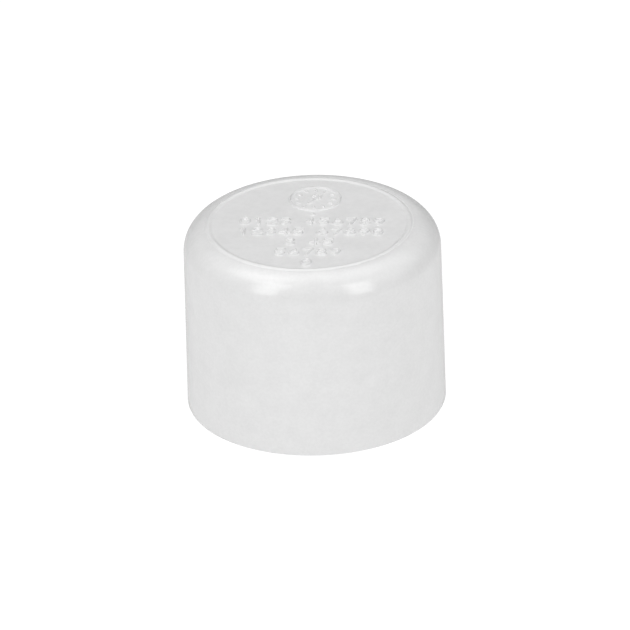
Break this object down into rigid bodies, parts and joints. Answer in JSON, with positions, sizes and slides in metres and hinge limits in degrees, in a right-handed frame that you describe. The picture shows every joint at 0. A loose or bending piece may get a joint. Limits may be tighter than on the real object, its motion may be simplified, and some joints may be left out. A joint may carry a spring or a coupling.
{
  "type": "pipe cap",
  "caption": "Slip-socket pipe cap: a short drafted plastic cup with a rounded shoulder, a flat closed end and one round pipe socket, standing on its open rim.",
  "frame": {"origin": "centre of the open rim, in the plane the cap stands on", "axes": "+Z along the socket's axis towards the closed end; +X along the rows of raised marks, left to right as read with the dial at the top; +Y from the rows towards the dial"},
  "size_m": [0.028, 0.028, 0.0211],
  "materials": {
    "pvc": "satin",
    "pvc_marks": "satin"
  },
  "bodies": {
    "root": {"cap_body": "pvc", "witness_bead": "pvc_marks", "dial_ring": "pvc_marks", "dial_ticks": "pvc_marks", "dial_pointer": "pvc_marks", "pip_mark": "pvc_marks", "row_1": "pvc_marks", "row_2": "pvc_marks", "row_3": "pvc_marks", "row_4": "pvc_marks", "row_5": "pvc_marks"}
  },
  "joints": []
}
